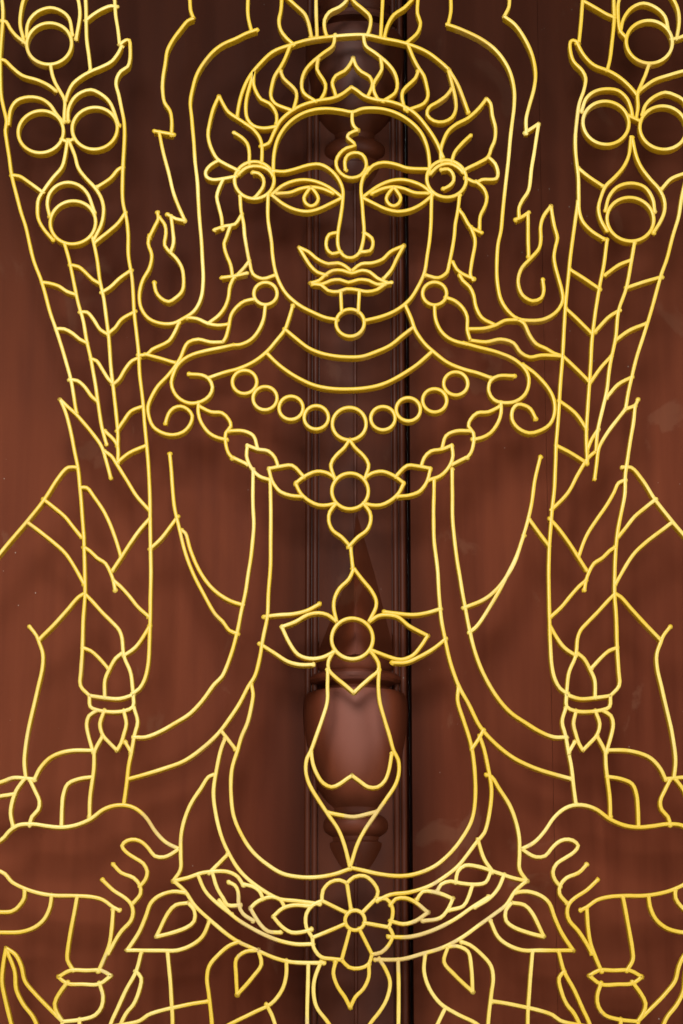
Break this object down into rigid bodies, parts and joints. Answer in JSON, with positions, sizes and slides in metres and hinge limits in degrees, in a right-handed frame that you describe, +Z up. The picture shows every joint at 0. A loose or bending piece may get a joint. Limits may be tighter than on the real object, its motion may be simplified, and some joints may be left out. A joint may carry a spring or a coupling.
{
  "type": "temple door with figure gate",
  "caption": "Double-leaf temple door in its frame, with a carved centre strip, behind a hinged gate of welded bars that draw a guardian figure.",
  "frame": {"origin": "middle of the underside of the threshold, at mid-depth of the frame", "axes": "+X to the viewer's right from outside, +Y into the building, +Z up"},
  "size_m": [1.26, 0.22, 2.5],
  "materials": {
    "gold_paint": "gloss",
    "leaf_wood": "semi-gloss",
    "frame_wood": "semi-gloss",
    "dark_iron": "satin"
  },
  "bodies": {
    "frame": {"threshold": "frame_wood", "head": "frame_wood", "left_jamb": "frame_wood", "right_jamb": "frame_wood", "left_hinge_jamb_plates": "dark_iron", "right_hinge_jamb_plates": "dark_iron", "gate_hinge_straps": "dark_iron", "gate_bolt_keeper": "dark_iron"},
    "left_leaf": {"left_leaf_boards": "leaf_wood", "left_leaf_battens": "leaf_wood", "astragal": "leaf_wood", "left_hinge_leaf_plates": "dark_iron", "top_bolt_guides": "dark_iron", "bottom_bolt_guides": "dark_iron", "draw_bolt_guides": "dark_iron", "left_pull": "dark_iron"},
    "right_leaf": {"right_leaf_boards": "leaf_wood", "right_leaf_battens": "leaf_wood", "right_hinge_leaf_plates": "dark_iron", "draw_bolt_keeper": "dark_iron", "right_pull": "dark_iron"},
    "gate": {"gate_left_stile": "gold_paint", "gate_right_stile": "gold_paint", "gate_bottom_rail": "gold_paint", "gate_top_rail": "gold_paint", "gate_hinge_plates": "dark_iron", "gate_bolt_guides": "gold_paint", "headdress_top": "gold_paint", "headdress_band": "gold_paint", "face": "gold_paint", "collar": "gold_paint", "leaf_necklace": "gold_paint", "chest_ornament": "gold_paint", "belt": "gold_paint", "skirt_front": "gold_paint", "left_plume": "gold_paint", "left_staff": "gold_paint", "left_streamer": "gold_paint", "left_ear_ornament": "gold_paint", "left_shoulder": "gold_paint", "left_arm": "gold_paint", "left_club": "gold_paint", "left_strap": "gold_paint", "left_skirt": "gold_paint", "right_plume": "gold_paint", "right_staff": "gold_paint", "right_streamer": "gold_paint", "right_ear_ornament": "gold_paint", "right_shoulder": "gold_paint", "right_arm": "gold_paint", "right_club": "gold_paint", "right_strap": "gold_paint", "right_skirt": "gold_paint"},
    "gate_bolt": {"gate_bolt": "dark_iron"},
    "top_bolt": {"top_bolt": "dark_iron"},
    "bottom_bolt": {"bottom_bolt": "dark_iron"},
    "draw_bolt": {"draw_bolt": "dark_iron"}
  },
  "joints": [
    {"name": "left_leaf_swing", "type": "hinge", "parent": "frame", "child": "left_leaf", "pos_m": [-0.5425, 0.0485, 1.2495], "axis": [0, 0, 1], "range_deg": [0, 90]},
    {"name": "right_leaf_swing", "type": "hinge", "parent": "frame", "child": "right_leaf", "pos_m": [0.5425, 0.0485, 1.2495], "axis": [0, 0, -1], "range_deg": [0, 90]},
    {"name": "gate_swing", "type": "hinge", "parent": "frame", "child": "gate", "pos_m": [-0.548, -0.0985, 1.249], "axis": [0, 0, -1], "range_deg": [0, 165]},
    {"name": "gate_bolt_slide", "type": "slide", "parent": "gate", "child": "gate_bolt", "axis": [1, 0, 0], "range_m": [0, 0.032]},
    {"name": "top_bolt_slide", "type": "slide", "parent": "left_leaf", "child": "top_bolt", "axis": [0, 0, 1], "range_m": [0, 0.04]},
    {"name": "bottom_bolt_slide", "type": "slide", "parent": "left_leaf", "child": "bottom_bolt", "axis": [0, 0, -1], "range_m": [0, 0.04]},
    {"name": "draw_bolt_slide", "type": "slide", "parent": "left_leaf", "child": "draw_bolt", "axis": [1, 0, 0], "range_m": [0, 0.052]}
  ]
}
